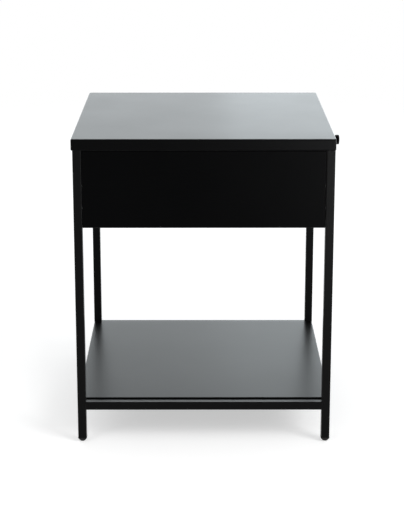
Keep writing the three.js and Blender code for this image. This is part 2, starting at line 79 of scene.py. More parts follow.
def placeCamera(view):
    low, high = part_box("top_panel")
    camera = link(bpy.data.objects.new("viewCamera", bpy.data.cameras.new("viewCamera")))
    camera.data.lens = view["lens"]
    camera.data.sensor_width = view["sensor"]
    camera.data.shift_y = view["shift"]
    middle = (low.y + high.y) / 2
    camera.location = (low.x - view["distance"], middle + view["behindMiddle"], high.z + view["overTop"])
    down, aside = math.radians(view["lookDown"]), math.radians(view["lookAside"])
    level = math.cos(down)
    forward = Vector((math.cos(aside) * level, -math.sin(aside) * level, -math.sin(down)))
    camera.rotation_euler = forward.to_track_quat("-Z", "Y").to_euler()
    scene.camera = camera


placeCamera(cameraView)

def pickSocket(sockets, name):
    return next(socket for socket in sockets if socket.name == name and socket.enabled)


def addNode(tree, kind, inputs=None, **settings):
    node = tree.nodes.new(kind)
    for name, value in settings.items():
        setattr(node, name, value)
    for name, value in (inputs or {}).items():
        socket = node.inputs[name] if isinstance(name, int) else pickSocket(node.inputs, name)
        if isinstance(value, bpy.types.NodeSocket):
            tree.links.new(value, socket)
        else:
            socket.default_value = value
    return node


def calculate(tree, operation, *values):
    return addNode(tree, "ShaderNodeMath", dict(enumerate(values)), operation=operation).outputs[0]


def remap(tree, value, low, high):
    inputs = {"Value": value, "To Min": low, "To Max": high}
    return addNode(tree, "ShaderNodeMapRange", inputs).outputs["Result"]


def noise(tree, vector, scale, detail=2.0, roughness=0.5):
    inputs = {"Vector": vector, "Scale": scale, "Detail": detail, "Roughness": roughness}
    return addNode(tree, "ShaderNodeTexNoise", inputs).outputs["Fac"]


def newGroup(name, kind, inputs, outputs):
    tree = bpy.data.node_groups.new(name, kind)
    for label, socketType, value in inputs:
        socket = tree.interface.new_socket(label, in_out="INPUT", socket_type=socketType)
        if value is not None:
            socket.default_value = value
    for label, socketType in outputs:
        tree.interface.new_socket(label, in_out="OUTPUT", socket_type=socketType)
    return tree, tree.nodes.new("NodeGroupInput").outputs, tree.nodes.new("NodeGroupOutput").inputs


print("finishes")
skinLook = {
    "grainDetail": 1.0,
    "grainShare": 0.35,  # of the peel's height
    "peelDetail": 2.0,
    "peelRoughness": 0.4,
    "patches": (7.0, 3.0, 0.6),  # scale, detail and roughness
}


# The skin of a baked powder coat: fine grain on a slow orange peel, and slow changes of gloss.
def coatSkinGroup():
    inputs = [("Grain", "NodeSocketFloat", 1400.0), ("Peel", "NodeSocketFloat", 260.0)]
    outputs = [("Height", "NodeSocketFloat"), ("Patches", "NodeSocketFloat")]
    tree, given, made = newGroup("coatSkin", "ShaderNodeTree", inputs, outputs)
    place = tree.nodes.new("ShaderNodeTexCoord").outputs["Object"]
    grain = noise(tree, place, given["Grain"], skinLook["grainDetail"])
    peel = noise(tree, place, given["Peel"], skinLook["peelDetail"], skinLook["peelRoughness"])
    height = calculate(tree, "MULTIPLY_ADD", grain, skinLook["grainShare"], peel)
    tree.links.new(height, made["Height"])
    tree.links.new(noise(tree, place, *skinLook["patches"]), made["Patches"])
    return tree


plateLook = {
    "stretch": (1.0, 0.03, 1.0),  # draws the lines out along the strip
    "lineDetail": 2.0,
    "cloudDetail": 4.0,
    "cloudRoughness": 0.65,
}


# Zinc plate on rolled strip: lines along the strip and cloudy passivation.
def platingGroup():
    inputs = [("Lines", "NodeSocketFloat", 900.0), ("Clouds", "NodeSocketFloat", 60.0)]
    outputs = [("Height", "NodeSocketFloat"), ("Bloom", "NodeSocketFloat")]
    tree, given, made = newGroup("plating", "ShaderNodeTree", inputs, outputs)
    place = tree.nodes.new("ShaderNodeTexCoord").outputs["Object"]
    stretched = addNode(tree, "ShaderNodeMapping", {"Vector": place, "Scale": plateLook["stretch"]})
    lines = noise(tree, stretched.outputs[0], given["Lines"], plateLook["lineDetail"])
    tree.links.new(lines, made["Height"])
    clouds = noise(tree, place, given["Clouds"], plateLook["cloudDetail"], plateLook["cloudRoughness"])
    tree.links.new(clouds, made["Bloom"])
    return tree


coatSkin = coatSkinGroup()
plating = platingGroup()


def newMaterial(name):
    material = bpy.data.materials.new(name)
    material.use_nodes = True
    material.node_tree.nodes.clear()
    return material, material.node_tree


# "faceOn" tints the gloss that is seen face on; at a grazing look the gloss stays white.
def finishMaterial(name, group, settings):
    material, tree = newMaterial(name)
    skin = addNode(tree, "ShaderNodeGroup", node_tree=group)
    for label, value in settings["texture"].items():
        skin.inputs[label].default_value = value
    height, cloud = skin.outputs
    tone = addNode(tree, "ShaderNodeMix", {"Factor": cloud}, data_type="RGBA")
    for label, colour in zip(("A", "B"), settings["colours"]):
        pickSocket(tone.inputs, label).default_value = (*colour, 1)
    bump = addNode(tree, "ShaderNodeBump", {
        "Height": height, "Strength": settings["bump"], "Distance": settings["depth"]})
    shader = addNode(tree, "ShaderNodeBsdfPrincipled", {
        "Base Color": pickSocket(tone.outputs, "Result"),
        "Roughness": remap(tree, cloud, *settings["roughness"]),
        "Metallic": settings.get("metal", 0.0),
        "IOR": settings.get("ior", 1.5),
        "Specular Tint": (*settings.get("faceOn", (1, 1, 1)), 1),
        "Normal": bump.outputs[0]})
    addNode(tree, "ShaderNodeOutputMaterial", {"Surface": shader.outputs[0]})
    return material


powder = {
    "texture": {"Grain": 1500.0, "Peel": 300.0},
    "colours": ((0.0018, 0.0019, 0.002), (0.0028, 0.0029, 0.003)),
    "roughness": (0.28, 0.33),
    "bump": 0.1,
    "depth": 0.0002,
    "ior": 1.3,
}
blackCoat = finishMaterial("satinBlackCoat", coatSkin, {**powder, "faceOn": (0.05, 0.05, 0.052)})
# The top has a little more gloss than the other sheets. The tubes' coat is the same black, painted lighter
# to stand in for the extra light that the legs catch.
topCoat = finishMaterial("topBlackCoat", coatSkin, {**powder, "faceOn": (0.12, 0.12, 0.124)})
paintedLighterTubeCoat = finishMaterial("tubeBlackCoatPaintedLighter", coatSkin, {
    **powder,
    "colours": ((0.0054, 0.0055, 0.0056), (0.007, 0.0071, 0.0072)),
    "ior": 1.5,
    "faceOn": (0.052, 0.052, 0.052),
})
footPlastic = finishMaterial("mouldedBlackPlastic", coatSkin, {
    "texture": {"Grain": 2600.0, "Peel": 700.0},
    "colours": ((0.004, 0.004, 0.0038), (0.006, 0.006, 0.0056)),
    "roughness": (0.45, 0.55),
    "bump": 0.2,
    "depth": 0.0002,
    "ior": 1.35,
    "faceOn": (0.3, 0.3, 0.29),
})
blackScrews = finishMaterial("blackOxideSteel", coatSkin, {
    "texture": {"Grain": 4000.0, "Peel": 900.0},
    "colours": ((0.02, 0.02, 0.022), (0.035, 0.034, 0.034)),
    "roughness": (0.32, 0.45),
    "bump": 0.15,
    "depth": 0.0001,
    "metal": 0.6,
})
zincPlate = finishMaterial("brightZincPlate", plating, {
    "texture": {"Lines": 1100.0, "Clouds": 55.0},
    "colours": ((0.5, 0.52, 0.55), (0.6, 0.6, 0.59)),
    "roughness": (0.24, 0.38),
    "bump": 0.1,
    "depth": 0.0001,
    "metal": 1.0,
})
cageZinc = finishMaterial("cageZincPlate", plating, {
    "texture": {"Lines": 1600.0, "Clouds": 120.0},
    "colours": ((0.42, 0.44, 0.46), (0.52, 0.52, 0.5)),
    "roughness": (0.32, 0.45),
    "bump": 0.1,
    "depth": 0.0001,
    "metal": 1.0,
})
ballSteel = finishMaterial("polishedBallSteel", plating, {
    "texture": {"Lines": 3000.0, "Clouds": 400.0},
    "colours": ((0.62, 0.62, 0.63), (0.68, 0.68, 0.68)),
    "roughness": (0.07, 0.14),
    "bump": 0.02,
    "depth": 0.0001,
    "metal": 1.0,
})
slotFinish = {
    "black_coat": blackCoat,
    "foot_plastic": footPlastic,
    "zinc_steel": zincPlate,
    "ball_steel": cageZinc,
    "black_screws": blackScrews,
}


# Gives each node of the frame its slot's finish.
def dressFrame():
    for part in frame["record"]["subparts"]:
        node = frame["nodes"][part["node"]]
        node.data.materials.clear()
        node.data.materials.append(slotFinish[part["material_slot"]])


dressFrame()

print("tools")
polishing = {
    "segments": 2,
    "flattest": 50,  # degrees; only edges sharper than this are rounded
    "weight": 80,  # how far the large faces set the shading
}


def pieceFrom(name, shape):
    mesh = bpy.data.meshes.new(name)
    bmesh.ops.recalc_face_normals(shape, faces=shape.faces)
    shape.to_mesh(mesh)
    shape.free()
    mesh.shade_smooth()
    return link(bpy.data.objects.new(name, mesh))


# Turns what the modifiers make into the piece's own mesh.
def settle(piece):
    made = bpy.data.meshes.new_from_object(piece.evaluated_get(bpy.context.evaluated_depsgraph_get()))
    before = piece.data
    piece.modifiers.clear()
    piece.data = made
    bpy.data.meshes.remove(before)


# Cuts a shape out of a piece, or joins it on with UNION.
def combine(piece, shape, operation="DIFFERENCE"):
    cutter = pieceFrom("cutter", shape)
    cut = piece.modifiers.new("cut", "BOOLEAN")
    cut.operation = operation
    cut.solver = "EXACT"
    cut.object = cutter
    settle(piece)
    mesh = cutter.data
    bpy.data.objects.remove(cutter)
    bpy.data.meshes.remove(mesh)


# Rounds the raw edges and keeps the flat faces flat in the shading.
def polish(piece, edge=0.0):
    if edge:
        rounding = piece.modifiers.new("edge", "BEVEL")
        rounding.width = edge * mm
        rounding.segments = polishing["segments"]
        rounding.limit_method = "ANGLE"
        rounding.angle_limit = math.radians(polishing["flattest"])
    normals = piece.modifiers.new("normals", "WEIGHTED_NORMAL")
    normals.mode = "FACE_AREA"
    normals.weight = polishing["weight"]
    normals.keep_sharp = True
    settle(piece)


# A piece takes its slot's finish, or a variant of it.
def handOver(piece, body, slotName, *nodes, finish=None):
    piece.data.materials.clear()
    piece.data.materials.append(finish or slotFinish[slotName])
    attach(piece, body)
    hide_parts(*nodes)


# A closed skin over rings of equal count.
def bridge(shape, rings):
    loops = [[shape.verts.new(point) for point in ring] for ring in rings]
    for near, far in zip(loops, loops[1:]):
        for i in range(len(near)):
            j = (i + 1) % len(near)
            shape.faces.new((near[i], near[j], far[j], far[i]))
    shape.faces.new(loops[0])
    shape.faces.new(loops[-1])


def quarterTurn(steps):
    return [math.radians(90 * step / steps) for step in range(steps + 1)]


def roundedRing(halfX, halfY, corner, height, steps):
    ring = []
    for towardX, towardY, start in ((1, 1, 0), (-1, 1, 90), (-1, -1, 180), (1, -1, 270)):
        for turn in quarterTurn(steps):
            angle = math.radians(start) + turn
            x = towardX * (halfX - corner) + corner * math.cos(angle)
            y = towardY * (halfY - corner) + corner * math.sin(angle)
            ring.append(Vector((x, y, height)))
    return ring


# A round or notched ring: the radius may follow the angle.
def turnedRing(radius, height, steps):
    ring = []
    for step in range(steps):
        angle = math.tau * step / steps
        reach = radius(angle) if callable(radius) else radius
        ring.append(Vector((reach * math.cos(angle), reach * math.sin(angle), height)))
    return ring


def turnedShape(profile, steps):
    shape = bmesh.new()
    bridge(shape, [turnedRing(radius, height, steps) for radius, height in profile])
    return shape


def addRod(shape, place, direction, radius, reach, steps=24):
    turn = Vector(direction).to_track_quat("Z", "Y").to_matrix().to_4x4()
    rings = [turnedRing(radius, height, steps) for height in (-reach, reach)]
    matrix = Matrix.Translation(place) @ turn
    bridge(shape, [[matrix @ point for point in ring] for ring in rings])


def addBlock(shape, low, high, matrix=None):
    middle = [(a + b) / 2 for a, b in zip(low, high)]
    size = [b - a for a, b in zip(low, high)]
    place = Matrix.Translation(middle) @ Matrix.Diagonal((*size, 1))
    bmesh.ops.create_cube(shape, size=1, matrix=(matrix or Matrix()) @ place)


def boxMiddle(node):
    low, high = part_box(node)
    return (low + high) / 2


# Paths are in millimetres on a plane; a strip runs along the third direction.
def arcPath(centre, radius, fromDegrees, toDegrees, steps):
    path = []
    for step in range(steps + 1):
        angle = math.radians(fromDegrees + (toDegrees - fromDegrees) * step / steps)
        path.append(Vector((centre[0] + radius * math.cos(angle), centre[1] + radius * math.sin(angle))))
    return path


def roundedPath(corners, radius, steps=6):
    points = [Vector(corner) for corner in corners]
    path = [points[0]]
    for before, corner, after in zip(points, points[1:], points[2:]):
        toBefore, toAfter = (before - corner).normalized(), (after - corner).normalized()
        half = toBefore.angle(toAfter) / 2
        start = corner + toBefore * (radius / math.tan(half))
        centre = corner + (toBefore + toAfter).normalized() * (radius / math.sin(half))
        side = 1 if toAfter.cross(toBefore) > 0 else -1
        turn = side * (math.pi - 2 * half)
        for step in range(steps + 1):
            path.append(centre + Matrix.Rotation(turn * step / steps, 2) @ (start - centre))
    path.append(points[-1])
    return path


def offsetPath(path, distance):
    normals = []
    for here, there in zip(path, path[1:]):
        along = (there - here).normalized()
        normals.append(Vector((-along.y, along.x)))
    moved = []
    for i, point in enumerate(path):
        before, after = normals[max(i - 1, 0)], normals[min(i, len(normals) - 1)]
        middle = (before + after).normalized()
        moved.append(point + middle * (distance / middle.dot(after)))
    return moved


# A sheet between two offsets of a path; place turns (across, up, along) into a point in metres.
def stripShape(path, toRight, toLeft, start, end, place):
    shape = bmesh.new()
    skins = (offsetPath(path, -toRight), offsetPath(path, toLeft))
    corners = [[[shape.verts.new(place(point.x * mm, point.y * mm, along)) for point in skin]
                for along in (start, end)] for skin in skins]
    (rightStart, rightEnd), (leftStart, leftEnd) = corners
    for i in range(len(path) - 1):
        j = i + 1
        shape.faces.new((rightStart[i], rightStart[j], rightEnd[j], rightEnd[i]))
        shape.faces.new((leftStart[i], leftEnd[i], leftEnd[j], leftStart[j]))
        shape.faces.new((rightStart[i], leftStart[i], leftStart[j], rightStart[j]))
        shape.faces.new((rightEnd[i], rightEnd[j], leftEnd[j], leftEnd[i]))
    for i in (0, -1):
        shape.faces.new((rightStart[i], rightEnd[i], leftEnd[i], leftStart[i]))
    return shape


print("trees")


def newTree(name, inputs):
    tree, given, made = newGroup(
        name, "GeometryNodeTree", [("Geometry", "NodeSocketGeometry", None), *inputs],
        [("Geometry", "NodeSocketGeometry")])
    tree.is_modifier = True
    return tree, given, made


def join(tree, *geometries):
    node = tree.nodes.new("GeometryNodeJoinGeometry")
    for geometry in geometries:
        tree.links.new(geometry, node.inputs[0])
    return node.outputs[0]


def namedVector(tree, label):
    node = addNode(tree, "GeometryNodeInputNamedAttribute", {"Name": label}, data_type="FLOAT_VECTOR")
    return pickSocket(node.outputs, "Attribute")


def alignTo(tree, direction):
    return addNode(tree, "FunctionNodeAlignRotationToVector", {"Vector": direction}, axis="Z").outputs[0]


def finishTree(tree, geometry, finish, made):
    whole = addNode(tree, "GeometryNodeRealizeInstances", {"Geometry": geometry}).outputs[0]
    smooth = addNode(tree, "GeometryNodeSetShadeSmooth", {"Geometry": whole}).outputs[0]
    coated = addNode(tree, "GeometryNodeSetMaterial", {"Geometry": smooth, "Material": finish}).outputs[0]
    tree.links.new(coated, made["Geometry"])


def squareOutline(tree, size, corner, steps):
    square = addNode(tree, "GeometryNodeCurvePrimitiveQuadrilateral", {"Width": size, "Height": size})
    inputs = {"Curve": square.outputs[0], "Count": steps, "Radius": corner}
    return addNode(tree, "GeometryNodeFilletCurve", inputs, mode="POLY").outputs[0]


# Square tube from each point along its "run": a ring-shaped end, pushed out to the other end.
def tubeTree():
    tree, given, made = newTree("squareTubing", [
        ("Size", "NodeSocketFloat", 0.015), ("Wall", "NodeSocketFloat", 0.0012),
        ("Corner", "NodeSocketFloat", 0.0016), ("Corner Steps", "NodeSocketInt", 6),
        ("Finish", "NodeSocketMaterial", None)])
    bore = calculate(tree, "MULTIPLY_ADD", given["Wall"], -2.0, given["Size"])
    boreCorner = calculate(tree, "SUBTRACT", given["Corner"], given["Wall"])
    outlines = join(tree, squareOutline(tree, given["Size"], given["Corner"], given["Corner Steps"]),
                    squareOutline(tree, bore, boreCorner, given["Corner Steps"]))
    end = addNode(tree, "GeometryNodeFillCurve", {"Curve": outlines}, mode="TRIANGLES").outputs[0]
    run = namedVector(tree, "run")
    placed = addNode(tree, "GeometryNodeInstanceOnPoints", {
        "Points": given["Geometry"], "Instance": end, "Rotation": alignTo(tree, run)}).outputs[0]
    ends = addNode(tree, "GeometryNodeRealizeInstances", {"Geometry": placed}).outputs[0]
    pushed = addNode(tree, "GeometryNodeExtrudeMesh", {
        "Mesh": ends, "Offset": run, "Offset Scale": 1.0, "Individual": False}, mode="FACES").outputs[0]
    turned = addNode(tree, "GeometryNodeFlipFaces", {"Mesh": ends}).outputs[0]
    closed = addNode(tree, "GeometryNodeMergeByDistance", {
        "Geometry": join(tree, pushed, turned), "Distance": mergeWithin}).outputs[0]
    finishTree(tree, closed, given["Finish"], made)
    return tree


# A copy of a pattern on each point, its axis along "towards", each turned its own way.
def fastenerTree():
    tree, given, made = newTree("fastenersOnPoints", [
        ("Fastener", "NodeSocketObject", None), ("Seed", "NodeSocketInt", 7),
        ("Finish", "NodeSocketMaterial", None)])
    pattern = addNode(tree, "GeometryNodeObjectInfo", {"Object": given["Fastener"]})
    turn = addNode(tree, "FunctionNodeRandomValue", {"Min": 0.0, "Max": math.tau, "Seed": given["Seed"]},
                   data_type="FLOAT")
    spin = addNode(tree, "FunctionNodeAxisAngleToRotation", {
        "Axis": (0, 0, 1), "Angle": pickSocket(turn.outputs, "Value")}).outputs[0]
    turned = addNode(tree, "FunctionNodeRotateRotation", {
        "Rotation": alignTo(tree, namedVector(tree, "towards")), "Rotate By": spin},
        rotation_space="LOCAL").outputs[0]
    placed = addNode(tree, "GeometryNodeInstanceOnPoints", {
        "Points": given["Geometry"], "Instance": pickSocket(pattern.outputs, "Geometry"),
        "Rotation": turned}).outputs[0]
    finishTree(tree, placed, given["Finish"], made)
    return tree


ballFaces = {"Segments": 24, "Rings": 14}


# Balls spaced evenly along each edge.
def ballTree():
    tree, given, made = newTree("ballRows", [
        ("Count", "NodeSocketInt", 6), ("Radius", "NodeSocketFloat", 0.002),
        ("Finish", "NodeSocketMaterial", None)])
    row = addNode(tree, "GeometryNodeMeshToCurve", {"Mesh": given["Geometry"]}).outputs[0]
    points = addNode(tree, "GeometryNodeResampleCurve", {"Curve": row, "Count": given["Count"]}).outputs[0]
    ball = addNode(tree, "GeometryNodeMeshUVSphere", {**ballFaces, "Radius": given["Radius"]}).outputs[0]
    placed = addNode(tree, "GeometryNodeInstanceOnPoints", {"Points": points, "Instance": ball}).outputs[0]
    finishTree(tree, placed, given["Finish"], made)
    return tree


weld = {
    "cornerSteps": 5,
    "points": 150,  # along one bead
    "ripple": 700.0,
    "rippleDetail": 1.0,
    "round": 8,  # sides of the bead's section
}


# A weld bead round the end of a square tube, a little uneven along its way.
def weldTree():
    tree, given, made = newTree("weldBeads", [
        ("Size", "NodeSocketFloat", 0.0138), ("Corner", "NodeSocketFloat", 0.0016),
        ("Bead", "NodeSocketFloat", 0.001), ("Unevenness", "NodeSocketFloat", 0.0002),
        ("Seed", "NodeSocketFloat", 3.0), ("Finish", "NodeSocketMaterial", None)])
    outline = squareOutline(tree, given["Size"], given["Corner"], weld["cornerSteps"])
    way = addNode(tree, "GeometryNodeResampleCurve", {"Curve": outline, "Count": weld["points"]}).outputs[0]
    placed = addNode(tree, "GeometryNodeInstanceOnPoints", {
        "Points": given["Geometry"], "Instance": way,
        "Rotation": alignTo(tree, namedVector(tree, "towards"))}).outputs[0]
    ways = addNode(tree, "GeometryNodeRealizeInstances", {"Geometry": placed}).outputs[0]
    place = tree.nodes.new("GeometryNodeInputPosition").outputs[0]
    ripple = addNode(tree, "ShaderNodeTexNoise", {
        "Vector": place, "W": given["Seed"], "Scale": weld["ripple"], "Detail": weld["rippleDetail"]},
        noise_dimensions="4D")
    middle = addNode(tree, "ShaderNodeVectorMath", {
        0: pickSocket(ripple.outputs, "Color"), 1: (0.5, 0.5, 0.5)}, operation="SUBTRACT").outputs[0]
    push = addNode(tree, "ShaderNodeVectorMath", {0: middle, "Scale": given["Unevenness"]},
                   operation="SCALE").outputs[0]
    uneven = addNode(tree, "GeometryNodeSetPosition", {"Geometry": ways, "Offset": push}).outputs[0]
    section = addNode(tree, "GeometryNodeCurvePrimitiveCircle", {
        "Resolution": weld["round"], "Radius": given["Bead"]}).outputs[0]
    bead = addNode(tree, "GeometryNodeCurveToMesh", {"Curve": uneven, "Profile Curve": section}).outputs[0]
    finishTree(tree, bead, given["Finish"], made)
    return tree


tubing = tubeTree()
fasteners = fastenerTree()
ballRows = ballTree()
weldBeads = weldTree()


# Points for a tree to grow on, each with a direction under the label.
def seedMesh(name, places, directions=None, label="", edges=()):
    mesh = bpy.data.meshes.new(name)
    mesh.from_pydata([tuple(place) for place in places], edges, [])
    if directions:
        attribute = mesh.attributes.new(label, "FLOAT_VECTOR", "POINT")
        for item, direction in zip(attribute.data, directions):
            item.vector = direction
    return mesh


# Runs a tree over the seeds and keeps what it makes as a plain mesh.
def grow(name, tree, seeds, values):
    piece = link(bpy.data.objects.new(name, seeds))
    modifier = piece.modifiers.new("grow", "NODES")
    modifier.node_group = tree
    for item in tree.interface.items_tree:
        if item.item_type == "SOCKET" and item.in_out == "INPUT" and item.name in values:
            modifier[item.identifier] = values[item.name]
    settle(piece)
    return piece


print("frame tubes")
tube = {
    "wall": 1.2,  # mm
    "corner": 1.6,
    "cornerSteps": 6,
    "weldBead": 0.9,
    "weldInset": 0.55,  # bead's middle inside the tube's face
    "weldUnevenness": 0.35,
}


def makeTubes():
    names = nodesNamed(("leg_", "lower_rail_"))
    starts, runs = [], []
    for name in names:
        low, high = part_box(name)
        size = high - low
        along = max(range(3), key=lambda axis: size[axis])
        start, run = (low + high) / 2, Vector((0, 0, 0))
        start[along], run[along] = low[along], size[along]
        starts.append(start)
        runs.append(run)
    low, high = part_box(names[0])
    width = high.x - low.x
    # The tubes and their welds take the coat painted lighter, for the light that they catch.
    piece = grow("frameTubes", tubing, seedMesh("tubeStarts", starts, runs, "run"), {
        "Size": width, "Wall": tube["wall"] * mm, "Corner": tube["corner"] * mm,
        "Corner Steps": tube["cornerSteps"], "Finish": paintedLighterTubeCoat})
    polish(piece)
    handOver(piece, "table", "black_coat", *names, finish=paintedLighterTubeCoat)
    places, ways = [], []
    for name in nodesNamed("lower_rail_"):
        low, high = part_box(name)
        for y, toRear in ((low.y, -1), (high.y, 1)):
            places.append(((low.x + high.x) / 2, y, (low.z + high.z) / 2))
            ways.append((0, toRear, 0))
    beads = grow("railWelds", weldBeads, seedMesh("weldPlaces", places, ways, "towards"), {
        "Size": width - 2 * tube["weldInset"] * mm, "Bead": tube["weldBead"] * mm,
        "Unevenness": tube["weldUnevenness"] * mm, "Finish": paintedLighterTubeCoat})
    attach(beads, "table")


makeTubes()

foot = {
    "height": 8.0,  # below the tube, all in mm
    "rim": 1.4,  # straight rim under the tube
    "rimEdge": 0.35,
    "edgeMiddle": 0.3,  # share of the rim's edge at its middle point
    "flat": 3.0,  # half of the flat that meets the floor
    "flatEdge": 0.3,
    "fullness": 1.25,  # 1 is a straight taper
    "corner": 2.4,
    "cornerLimit": 0.9,  # share of a ring's own half width
    "cornerSteps": 6,
    "plugGap": 2.8,  # between the plug's core and the rim's outside
    "plug": 16.0,
    "domeSteps": 20,
}


def makeFoot(name):
    low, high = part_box(name)
    half = (high.x - low.x) / 2
    top = low.z + foot["height"] * mm
    dome = top - low.z - foot["rim"] * mm
    flat = foot["flat"] * mm
    rings = [(flat - foot["flatEdge"] * mm, low.z)]
    for step in range(1, foot["domeSteps"] + 1):
        up = step / foot["domeSteps"]
        rings.append((flat + (half - flat) * up ** (1 / foot["fullness"]), low.z + dome * up))
    edge = foot["rimEdge"] * mm
    middle = edge * foot["edgeMiddle"]
    core = half - foot["plugGap"] * mm
    rings += [(half, top - edge), (half - middle, top - middle), (half - edge, top)]
    rings += [(core, top), (core, top + foot["plug"] * mm)]
    shape = bmesh.new()
    loops = []
    for reach, height in rings:
        corner = min(foot["corner"] * mm, reach * foot["cornerLimit"])
        loops.append(roundedRing(reach, reach, corner, height, foot["cornerSteps"]))
    bridge(shape, loops)
    place = boxMiddle(name)
    bmesh.ops.translate(shape, verts=shape.verts, vec=(place.x, place.y, 0))
    piece = pieceFrom(name.replace("foot", "endFoot"), shape)
    polish(piece)
    handOver(piece, "table", "foot_plastic", name)


for name in nodesNamed("foot_"):
    makeFoot(name)

print("pans")
pan = {
    "rawEdge": 0.25,  # rounding of a sheet's raw edges, mm
    "foldSteps": 7,
    "cornerOverBend": 1.3,
    "cornerSteps": 5,
    "slitWidth": 0.35,  # mitre in the lips at a corner, mm
    "slitPast": 1.0,  # how far its cutter goes past the lips and below them, mm
    "slitOver": 0.2,  # and above them
    "holeReach": 12.0,  # half the length of a hole's cutter, mm
}
holes = {  # radii of the screws' and rivets' holes, mm
    "shelf_bolt_": 1.95,
    "back_screw_": 2.7,
    "front_screw_": 2.2,
    "knob_screw": 1.7,
    "tray_rivet_": 1.7,
}


# A folded sheet, mouth down: over the outside, round the lips and back up the inside.
def panShape(width, length, height, fold):
    sheet, bend = fold["sheet"] * mm, fold["bend"] * mm
    lipX, lipY = (value * mm for value in fold["lips"])
    inner, raw = bend - sheet, pan["rawEdge"] * mm
    turns = quarterTurn(pan["foldSteps"])
    rings = []
    for turn in turns:
        inset = bend * (1 - math.sin(turn))
        rings.append((inset, inset, height - bend * (1 - math.cos(turn))))
    if lipX:
        for turn in turns:
            inset = bend * (1 - math.cos(turn))
            rings.append((inset, inset, bend * (1 - math.sin(turn))))
        for back, z in ((raw, 0), (0, raw), (0, sheet - raw), (raw, sheet)):
            rings.append((lipX - back, lipY - back, z))
        for turn in reversed(turns):
            inset = sheet + inner * (1 - math.cos(turn))
            rings.append((inset, inset, sheet + inner * (1 - math.sin(turn))))
    else:
        rings += [(inset, inset, z) for inset, z in ((0, raw), (raw, 0), (sheet - raw, 0), (sheet, raw))]
    for turn in reversed(turns):
        inset = sheet + inner * (1 - math.sin(turn))
        rings.append((inset, inset, height - sheet - inner * (1 - math.cos(turn))))
    shape = bmesh.new()
    loops = []
    for insetX, insetY, z in rings:
        corner = max(bend * pan["cornerOverBend"] - min(insetX, insetY), raw)
        halfX, halfY = width / 2 - insetX, length / 2 - insetY
        loops.append(roundedRing(halfX, halfY, corner, z, pan["cornerSteps"]))
    bridge(shape, loops)
    return shape


# The hairline mitres where the lips of two sides meet.
def addSlits(shape, width, length, fold):
    sheet, bend = fold["sheet"] * mm, fold["bend"] * mm
    lipX, lipY = (value * mm for value in fold["lips"])
    half, past, over = pan["slitWidth"] / 2 * mm, pan["slitPast"] * mm, pan["slitOver"] * mm
    for towardX, towardY in ((1, 1), (-1, 1), (-1, -1), (1, -1)):
        outer = Vector((towardX * (width / 2 - bend), towardY * (length / 2 - bend), 0))
        inner = Vector((towardX * (width / 2 - lipX - past), towardY * (length / 2 - lipY - past), 0))
        way = inner - outer
        turn = Matrix.Translation(outer) @ Matrix.Rotation(math.atan2(way.y, way.x), 4, "Z")
        addBlock(shape, (0, -half, -past), (way.length, half, sheet + over), turn)


# The fold's turn about X starts from mouth down; a cut is a row of fasteners and its axis.
def placePan(name, node, body, fold, cuts=(), finish=None):
    low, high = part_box(node)
    size, middle = high - low, (low + high) / 2
    turn = fold["turn"]
    flat = turn in (0, 180)
    length, height = (size.y, size.z) if flat else (size.z, size.y)
    mouth = {
        0: (middle.x, middle.y, low.z), 90: (middle.x, high.y, middle.z),
        180: (middle.x, middle.y, high.z), -90: (middle.x, low.y, middle.z)}[turn]
    matrix = Matrix.Translation(mouth) @ Matrix.Rotation(math.radians(turn), 4, "X")
    shape = panShape(size.x, length, height, fold)
    bmesh.ops.transform(shape, matrix=matrix, verts=shape.verts)
    piece = pieceFrom(name, shape)
    cutter = bmesh.new()
    if fold["lips"][0]:
        addSlits(cutter, size.x, length, fold)
        bmesh.ops.transform(cutter, matrix=matrix, verts=cutter.verts)
    for prefix, axis in cuts:
        for fastener in nodesNamed(prefix):
            addRod(cutter, boxMiddle(fastener), axis, holes[prefix] * mm, pan["holeReach"] * mm)
    combine(piece, cutter)
    polish(piece)
    handOver(piece, body, "black_coat", node, finish=finish)


# Sheet, outside radius of the folds and widths of the lips at the sides and ends, in mm.
topFold = {"sheet": 1.2, "bend": 2.2, "lips": (22, 22), "turn": 0}
shelfFold = {"sheet": 1.2, "bend": 1.8, "lips": (12, 12), "turn": 0}
backFold = {"sheet": 1.0, "bend": 1.8, "lips": (0, 0), "turn": -90}
frontFold = {"sheet": 1.2, "bend": 2.2, "lips": (30, 14), "turn": 90}
trayFold = {"sheet": 1.0, "bend": 2.0, "lips": (5, 5), "turn": 180}
acrossTable, alongDrawer = (1, 0, 0), (0, 1, 0)
placePan("foldedTop", "top_panel", "table", topFold, finish=topCoat)
placePan("foldedShelf", "lower_shelf", "table", shelfFold, [("shelf_bolt_", acrossTable)])
placePan("foldedBack", "back_panel", "table", backFold, [("back_screw_", acrossTable)])
placePan("foldedFront", "drawer_front", "drawer", frontFold,
         [("front_screw_", alongDrawer), ("knob_screw", alongDrawer)])
placePan("foldedTray", "drawer_tray", "drawer", trayFold,
         [("front_screw_", alongDrawer), ("tray_rivet_", acrossTable)])

print("panels")
panel = {
    "sheet": 1.0,  # mm
    "bend": 1.8,
    "topFlange": 22.0,
    "bottomFlange": 28.0,
    "rawEdge": 0.2,
    "hem": 6.0,  # turned up at the bottom's front and back
    "channelSheet": 1.2,
}


def makeSidePanel(side, toRight):
    node = f"side_panel_{side}"
    low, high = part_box(node)
    face = high.x if toRight > 0 else low.x
    rise = (high.z - low.z) / mm
    corners = [(-panel["bottomFlange"], 0), (0, 0), (0, rise), (-panel["topFlange"], rise)]
    shape = stripShape(roundedPath(corners, panel["bend"]), 0, panel["sheet"], low.y, high.y,
                       lambda across, up, along: (face + toRight * across, along, low.z + up))
    piece = pieceFrom(f"sidePanel{side.title()}", shape)
    polish(piece, panel["rawEdge"])
    handOver(piece, "table", "black_coat", node)


